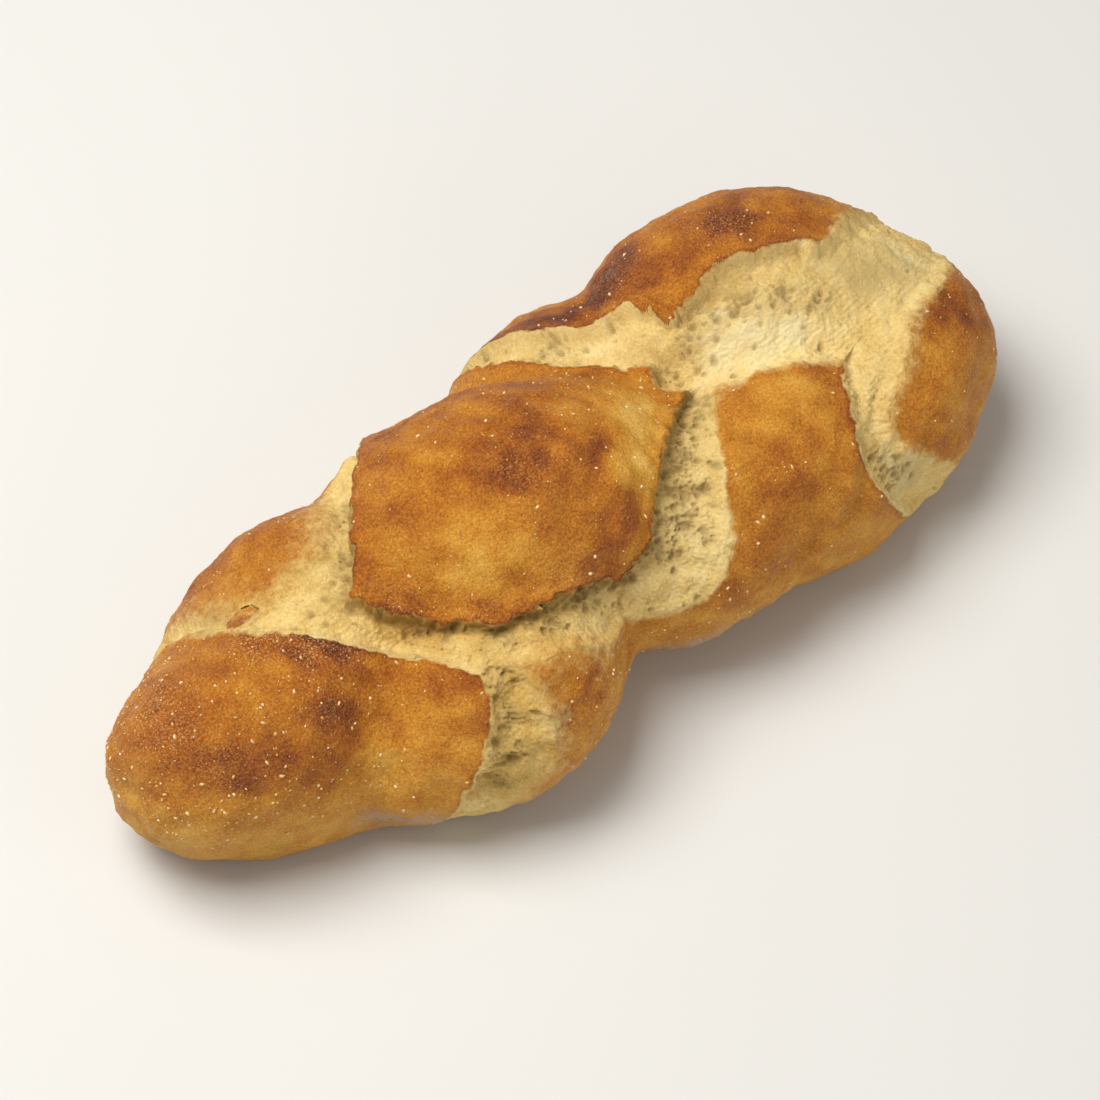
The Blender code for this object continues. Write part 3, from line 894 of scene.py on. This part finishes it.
@lru_cache
def dough_finish():
    """Golden crust that darkens with its bake level, and pale crumb inside the torn edges."""
    s = Shading("crust and crumb")
    names = ("bake", "edge", "fade", "porous_and_shaded", "grey", "pit", "frost", "flour", "tone")
    bake, edge, fade, porous_and_shaded, grey, pit, frost, flour, pale = map(s.attribute, names)
    split = s.add("ShaderNodeSeparateXYZ")
    s.put(s.place, split.inputs[0])
    rise = split.outputs[2]

    # crust: the bake level with mottling and grain, darker along sharp edges
    mottle = s.math("SUBTRACT", s.noise(5.0, 4.0, 0.6), 0.5)
    grain = s.math("SUBTRACT", s.noise(0.75, 4.0, 0.8), 0.5)
    level = s.math("MULTIPLY_ADD", mottle, 0.3, bake)
    level = s.math("MULTIPLY_ADD", grain, 1.25, level)
    sharp = s.spread(fade, 2.2, 0.6, 0.0, 0.16)
    level = s.math("ADD", level, s.math("MULTIPLY", s.spread(edge, 2.0, 0.0), sharp))
    crust = s.ramp(level, CRUST_COLOURS)
    # pale specks, a paler foot, and flour in streaks near the base
    speckle = s.spread(s.noise(0.55, 2.0, 0.6), 0.52, 0.68)
    dusted = s.math("MULTIPLY", speckle, s.math("MULTIPLY_ADD", frost, 0.9, 0.14))
    crust = s.mix(dusted, crust, SPECK_COLOUR)
    low = s.math("MULTIPLY", s.spread(rise, 0.03, 0.004), s.spread(s.noise(8.0, 3.0), 0.2, 0.8))
    crust = s.mix(s.math("MULTIPLY", low, 0.4), crust, FOOT_COLOUR)
    streaks = s.spread(s.noise(2.5, 4.0, 0.7), 0.34, 0.54)
    floury = s.math("MULTIPLY", s.math("MULTIPLY", flour, streaks), s.spread(rise, 0.028, 0.014))
    crust = s.mix(floury, crust, FLOUR_COLOUR)

    # crumb: fluffy pale gold, olive where it is open (in part painted shade), grey where its skin
    # is smooth
    fluff = s.noise(0.8, 4.0, 0.75)
    tone = s.math("MULTIPLY_ADD", s.math("SUBTRACT", fluff, 0.5), 1.0, 0.66)
    tone = s.math("MULTIPLY_ADD", s.math("SUBTRACT", s.noise(6.0, 3.0), 0.5), 0.6, tone)
    # painted shade: the darker tone spots darken the crumb under the middle lobe's lip and in
    # hollows
    tone = s.math("ADD", tone, pale)
    crumb = s.ramp(tone, CRUMB_COLOURS)
    olive = s.mix(fluff, OPEN_CRUMB_DARK, OPEN_CRUMB_PALE)
    # partly painted shade: the olive darkens open crumb, also under the middle lobe's lip
    crumb = s.mix(s.math("MULTIPLY", porous_and_shaded, 0.55), crumb, olive)
    crumb = s.mix(s.math("MULTIPLY", grey, 0.6), crumb, GREY_SKIN_COLOUR)
    # painted shade in small holes and pores, and painted shade under a sharp edge
    hole_shade = s.spread(s.noise(1.5, 2.0, 0.5), 0.36, 0.28)
    hole_shade = s.math("MULTIPLY", hole_shade, s.spread(porous_and_shaded, 0.15, 0.8, 0.05, 0.6))
    crumb = s.mix(hole_shade, crumb, HOLE_SHADE_COLOUR)
    # painted shade inside the pores, which are also sunk into the crumb
    crumb = s.mix(s.math("MULTIPLY", pit, 0.5), crumb, PORE_SHADE_COLOUR)
    # painted shade just inside a sharp torn edge, where the crust lip overhangs the crumb
    under = s.math("MULTIPLY", s.spread(edge, -7.0, -0.5), s.spread(fade, 1.0, 0.55, 0.0, 0.6))
    crumb = s.mix(under, crumb, UNDERCUT_SHADE_COLOUR)

    # crust outside the torn edge and crumb inside it, with a ragged line between them
    wander = s.math("SUBTRACT", s.noise(2.4, 4.0, 0.6), 0.5)
    line = s.math("MULTIPLY_ADD", wander, 1.4, s.math("DIVIDE", edge, fade))
    share = s.spread(line, 0.5, -0.5)
    s.put(s.mix(share, crust, crumb), s.shader.inputs["Base Color"])
    s.put(s.spread(share, 0.0, 1.0, 0.46, 0.85), s.shader.inputs["Roughness"])
    s.shader.inputs["Specular IOR Level"].default_value = 0.3
    s.shader.inputs["Subsurface Weight"].default_value = 0.06
    s.shader.inputs["Subsurface Radius"].default_value = (0.004, 0.0022, 0.001)
    s.shader.inputs["Subsurface Scale"].default_value = 0.4
    coarse = s.bump(s.noise(2.6, 4.0, 0.6), 0.7)
    fine = s.bump(s.noise(0.7, 4.0, 0.8), 0.6, coarse)
    s.put(fine, s.shader.inputs["Normal"])
    return s.material


@lru_cache
def fleck_finish():
    """Pale golden flecks, light and dry."""
    s = Shading("pale flecks")
    s.put(s.ramp(s.noise(3.0, 2.0), FLECK_COLOURS), s.shader.inputs["Base Color"])
    s.shader.inputs["Roughness"].default_value = 0.45
    return s.material


class LoafSettings(PropertyGroup):
    """Sizes of the crumb's relief, and how pores and flecks are scattered"""

    sunk_depth: FloatProperty(
        name="Sunk depth", description="How far the crust surface runs under the torn crumb",
        default=0.0018, min=0.0, max=0.003, unit="LENGTH", precision=5,
    )
    fluff_height: FloatProperty(
        name="Fluff height", description="Height of the fine fluff on the torn crumb",
        default=0.0002, min=0.0, max=0.001, unit="LENGTH", precision=5,
    )
    pore_depth: FloatProperty(
        name="Pore depth", description="Depth of the larger pores in the torn crumb",
        default=0.0011, min=0.0, max=0.003, unit="LENGTH", precision=5,
    )
    pore_seed: IntProperty(
        name="Pore seed", description="Which scatter of pores is used", default=5,
    )
    fleck_count: IntProperty(
        name="Flecks", description="Most flecks that are scattered over the crust",
        default=900, min=1,
    )
    fleck_seed: IntProperty(
        name="Fleck seed", description="Which scatter of flecks is used", default=3,
    )


class StageSettings(PropertyGroup):
    """Colour of the floor and power of the lights"""

    floor_colour: FloatVectorProperty(
        name="Floor colour", description="Plain colour of the floor", subtype="COLOR",
        default=(0.72, 0.72, 0.70), min=0.0, max=1.0,
    )
    key_power: FloatProperty(
        name="Key light", description="Power of the large soft light above the back left",
        default=17.0, min=0.0, unit="POWER",
    )
    fill_power: FloatProperty(
        name="Fill light", description="Power of the soft light from the front right",
        default=3.6, min=0.0, unit="POWER",
    )


class LOAF_OT_crust(Operator):
    """Build the crust surface that stands for the loaf's plain solid"""

    bl_idname = "loaf.crust"
    bl_label = "Crust"

    def execute(self, context):
        surface, directions, _ = smooth_loaf(*GRID)
        flat = surface.reshape(-1, 3)
        torn = Torn(flat)
        height = loaf_height(flat, torn)
        sunk = smooth_step(*SUNK_EDGE, -torn.edge) * smooth_step(*SUNK_HEIGHTS, flat[:, 2])
        height -= context.scene.loaf_settings.sunk_depth / MM * sunk
        calm = smooth_step(SKIN_HEIGHT, CALM_HEIGHT, flat[:, 2])
        height += wave_sum(flat, SKIN_WAVES) * calm
        points = surface + height.reshape(surface.shape[:2])[..., None] * directions
        points[..., 2] = np.maximum(points[..., 2], 0.0)
        vertices, faces = closed_grid(points)
        layers = dough_layers(flat, torn, np.zeros(len(flat)))
        layers = {k: ends_apart(v.reshape(surface.shape[:2])) for k, v in layers.items()}
        piece = make_piece("crust", vertices, faces, dough_finish(), "crust", **layers)
        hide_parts("loaf")
        return {"FINISHED"}


class LOAF_OT_crumb(Operator):
    """Build the torn crumb: a fine surface inside the torn edges, with fluff and pores"""

    bl_idname = "loaf.crumb"
    bl_label = "Torn crumb"

    def execute(self, context):
        settings = context.scene.loaf_settings
        surface, directions, _ = smooth_loaf(*GRID)
        rows, columns = CRUMB_GRID
        lengths = np.linspace(0, guide_profile()[1][-1], rows)
        turns = np.linspace(-CRUMB_TURN, CRUMB_TURN, columns)
        along, turn = np.meshgrid(lengths, turns, indexing="ij")
        rough = Torn(surface[:, ::2].reshape(-1, 3)).edge.reshape(surface[:, ::2].shape[:2])
        near = read_grid(rough[..., None], along, turn)[..., 0] < CRUMB_NEAR
        base = read_grid(surface, along[near], turn[near])
        torn = Torn(base)
        height = loaf_height(base, torn)
        depth = smooth_step(0.0, CRUMB_FULL_EDGE, -torn.edge)
        porous_and_shaded = spots_on(base, POROUS_AND_SHADED)
        fluff = settings.fluff_height / MM * (1 - GREY_CALM * spots_on(base, GREY))
        place = np.stack([torn.run, torn.across * STRETCH], -1)
        fine = wave_sum(base, FLUFF_WAVES) + wave_sum(place, STRETCHED_WAVES)
        height += fluff * depth * fine
        lumps = waves(base, LUMP_WAVELENGTH, LUMP_SEED)
        height += (LUMP_HEIGHT + LUMP_OPEN * porous_and_shaded) * lumps * depth
        pit = self.pores(settings.pore_seed, base, porous_and_shaded)
        height -= settings.pore_depth / MM * pit * depth
        height -= CRUMB_TUCK * smooth_step(0.0, CRUMB_TUCK_WIDTH, torn.edge)
        points = base + height[:, None] * read_grid(directions, along[near], turn[near])
        points[:, 2] = np.maximum(points[:, 2], CRUMB_LEAST_HEIGHT)
        keep = near.copy()
        keep[near] = (torn.edge < CRUMB_EDGE) & (base[:, 2] > CRUMB_FOOT)
        index = np.full(near.shape, -1)
        index[keep] = np.arange(keep.sum())
        corners = np.stack([index[:-1, :-1], index[:-1, 1:], index[1:, 1:], index[1:, :-1]], -1)
        faces = corners[(corners >= 0).all(-1)].tolist()
        kept = keep[near]
        layers = dough_layers(base, torn, pit)
        layers = {key: values[kept] for key, values in layers.items()}
        make_piece("crumb", points[kept], faces, dough_finish(), "crust", **layers)
        return {"FINISHED"}

    def pores(self, seed, points, porous_and_shaded):
        """Depth, 0 to 1, of oval pores scattered where the crumb is open."""
        rng = np.random.default_rng(seed)
        order = np.argsort(points[:, 0])
        ordered = points[order]
        share = PORE_CHANCE + porous_and_shaded[order] ** 2
        depth = np.zeros(len(points))
        for k in rng.choice(len(points), PORE_COUNT, p=share / share.sum()):
            size = PORE_LEAST + PORE_SPREAD * rng.random() ** PORE_RARITY
            ways = np.linalg.qr(rng.normal(size=(3, 3)))[0]
            ways = ways * (1.0, 1.0, 1 / rng.uniform(1.0, PORE_LONGEST))
            slab = ordered[k, 0] + (-PORE_REACH * size, PORE_REACH * size)
            first, last = np.searchsorted(ordered[:, 0], slab)
            gap = (ordered[first:last] - ordered[k]) @ ways / size
            bowl = np.exp(-((gap**2).sum(1) ** PORE_STEEPNESS))
            bowl = bowl * min(1.0, PORE_SHALLOW + PORE_DEEPER * size)
            at = order[first:last]
            depth[at] = np.maximum(depth[at], bowl)
        return depth


class LOAF_OT_flecks(Operator):
    """Scatter small pale flecks over the crust"""

    bl_idname = "loaf.flecks"
    bl_label = "Flecks"

    def execute(self, context):
        settings = context.scene.loaf_settings
        rng = np.random.default_rng(settings.fleck_seed)
        surface, directions, normals = smooth_loaf(*GRID)
        tries = settings.fleck_count * FLECK_TRIES
        along = rng.uniform(FLECK_TIPS[0], guide_profile()[1][-1] - FLECK_TIPS[1], tries)
        turn = rng.uniform(*FLECK_TURNS, tries)
        base = read_grid(surface, along, turn)
        left = LEFT_CHANCE * np.exp(-(((along - LEFT_ALONG) / LEFT_REACH) ** 2))
        cluster = waves(base, CLUSTER_WAVELENGTH, CLUSTER_SEED) > CLUSTER_LEVEL
        busy = FLECK_CHANCE + left + CLUSTER_CHANCE * cluster
        clear = (Torn(base).edge > FLECK_EDGE) & (base[:, 2] > FLECK_FOOT)
        wanted = clear & (rng.random(tries) < busy)
        base, chosen = base[wanted], np.flatnonzero(wanted)
        height = loaf_height(base, Torn(base))
        facing = read_grid(normals, along[chosen], turn[chosen])
        facing /= np.linalg.norm(facing, axis=1, keepdims=True)
        middle = base + height[:, None] * read_grid(directions, along[chosen], turn[chosen])
        count = len(base)
        side = np.cross(facing, rng.normal(size=(count, 3)))
        side /= np.linalg.norm(side, axis=1, keepdims=True)
        other = np.cross(facing, side)
        size = FLECK_LEAST + FLECK_SPREAD * rng.random(count) ** FLECK_RARITY
        long = size * rng.uniform(1.0, FLECK_LONGEST, count)
        step = np.arange(FLECK_CORNERS)
        ring = step * np.pi / (FLECK_CORNERS / 2)
        scale = rng.uniform(*FLECK_RIM, (count, FLECK_CORNERS, 1))
        rim = middle[:, None] + scale * (
            np.cos(ring)[:, None] * (side * long[:, None])[:, None]
            + np.sin(ring)[:, None] * (other * size[:, None])[:, None]
        )
        top = middle + facing * (FLECK_RISE + FLECK_GROWTH * size)[:, None]
        low = middle - facing * FLECK_DEPTH
        vertices = np.concatenate([rim, top[:, None], low[:, None]], 1)
        after = (step + 1) % FLECK_CORNERS
        one = [(a, b, FLECK_CORNERS) for a, b in zip(step, after)]
        one += [(b, a, FLECK_CORNERS + 1) for a, b in zip(step, after)]
        first = (FLECK_CORNERS + 2) * np.arange(count)[:, None, None]
        faces = (np.array(one)[None] + first).reshape(-1, 3)
        make_piece("flecks", vertices.reshape(-1, 3), faces.tolist(), fleck_finish(), "crust")
        return {"FINISHED"}


class LOAF_OT_stage(Operator):
    """Lay the floor and set the lights and the camera"""

    bl_idname = "loaf.stage"
    bl_label = "Stage"

    def execute(self, context):
        settings = context.scene.loaf_stage
        scene = context.scene
        scene.view_settings.view_transform = "Standard"
        world = bpy.data.worlds.new("soft room")
        world.use_nodes = True
        room = world.node_tree.nodes["Background"]
        room.inputs["Color"].default_value = ROOM_COLOUR
        room.inputs["Strength"].default_value = ROOM_STRENGTH
        scene.world = world
        side = FLOOR_HALF_SIDE
        mesh = bpy.data.meshes.new("floor")
        corners = [(-side, -side, 0), (side, -side, 0), (side, side, 0), (-side, side, 0)]
        mesh.from_pydata(corners, [], [(0, 1, 2, 3)])
        floor = bpy.data.objects.new("floor", mesh)
        scene.collection.objects.link(floor)
        material = bpy.data.materials.new("plain floor")
        material.use_nodes = True
        shader = material.node_tree.nodes["Principled BSDF"]
        shader.inputs["Base Color"].default_value = (*settings.floor_colour, 1.0)
        shader.inputs["Roughness"].default_value = FLOOR_ROUGHNESS
        mesh.materials.append(material)
        axes = view_axes()
        self.light(scene, "key", axes, KEY, settings.key_power)
        self.light(scene, "fill", axes, FILL, settings.fill_power)
        self.camera(scene, *axes)
        return {"FINISHED"}

    def light(self, scene, name, axes, lamp_set, power):
        """A square soft light that looks at the loaf from its way, a sum of shares of the axes."""
        (rightward, upward, backward), distance, size = lamp_set
        way = rightward * axes[0] + upward * axes[1] + backward * axes[2]
        data = bpy.data.lights.new(name, "AREA")
        data.size = size
        data.energy = power
        data.color = LAMP_COLOUR
        lamp = bpy.data.objects.new(name, data)
        way = Vector(way).normalized()
        lamp.location = way * distance + Vector(LAMP_AIM)
        lamp.rotation_euler = way.to_track_quat("Z", "Y").to_euler()
        scene.collection.objects.link(lamp)

    def camera(self, scene, right, up, back):
        """The loaf's middle falls on its pixel, and one millimetre there spans the view scale."""
        across = (TARGET_PIXEL[0] - PHOTO_PIXELS / 2) / VIEW_SCALE
        down = (TARGET_PIXEL[1] - PHOTO_PIXELS / 2) / VIEW_SCALE
        target = np.array([0, 0, VIEW_TARGET_HEIGHT]) - loaf_centre()
        aim = target - across * right + down * up
        data = bpy.data.cameras.new("view")
        data.sensor_width = SENSOR
        data.lens = VIEW_SCALE * VIEW_DISTANCE * SENSOR / PHOTO_PIXELS
        data.clip_start, data.clip_end = CLIP
        camera = bpy.data.objects.new("view", data)
        place = Matrix((right, up, back)).transposed().to_4x4()
        place.translation = Vector((aim + VIEW_DISTANCE * back) * MM)
        camera.matrix_world = place
        scene.collection.objects.link(camera)
        scene.camera = camera


def view_axes():
    """The camera's right, up and backward ways, from its turn and rise."""
    a, e = np.radians(VIEW_TURN), np.radians(VIEW_RISE)
    back = np.array([np.sin(a) * np.cos(e), -np.cos(a) * np.cos(e), np.sin(e)])
    right = np.array([np.cos(a), np.sin(a), 0.0])
    return right, np.cross(back, right), back


class LOAF_PT_panel(Panel):
    """Sidebar panel with the settings and a button for each piece"""

    bl_idname = "LOAF_PT_panel"
    bl_label = "Braided loaf"
    bl_space_type = "VIEW_3D"
    bl_region_type = "UI"
    bl_category = "Loaf"

    def draw(self, context):
        for group in (context.scene.loaf_settings, context.scene.loaf_stage):
            for key in group.__annotations__:
                self.layout.prop(group, key)
        for operator in PIECES:
            self.layout.operator(operator.bl_idname)


PIECES = (LOAF_OT_crust, LOAF_OT_crumb, LOAF_OT_flecks, LOAF_OT_stage)
CLASSES = (LoafSettings, StageSettings, *PIECES, LOAF_PT_panel)


def register():
    """Register the classes and hang the two groups of settings on the scene."""
    for cls in CLASSES:
        bpy.utils.register_class(cls)
    bpy.types.Scene.loaf_settings = PointerProperty(type=LoafSettings)
    bpy.types.Scene.loaf_stage = PointerProperty(type=StageSettings)


def unregister():
    """Take away what register added."""
    del bpy.types.Scene.loaf_stage
    del bpy.types.Scene.loaf_settings
    for cls in reversed(CLASSES):
        bpy.utils.unregister_class(cls)


def main():
    """Build every piece and the stage."""
    register()
    bpy.ops.loaf.crust()
    bpy.ops.loaf.crumb()
    bpy.ops.loaf.flecks()
    bpy.ops.loaf.stage()


if __name__ == "__main__":
    main()
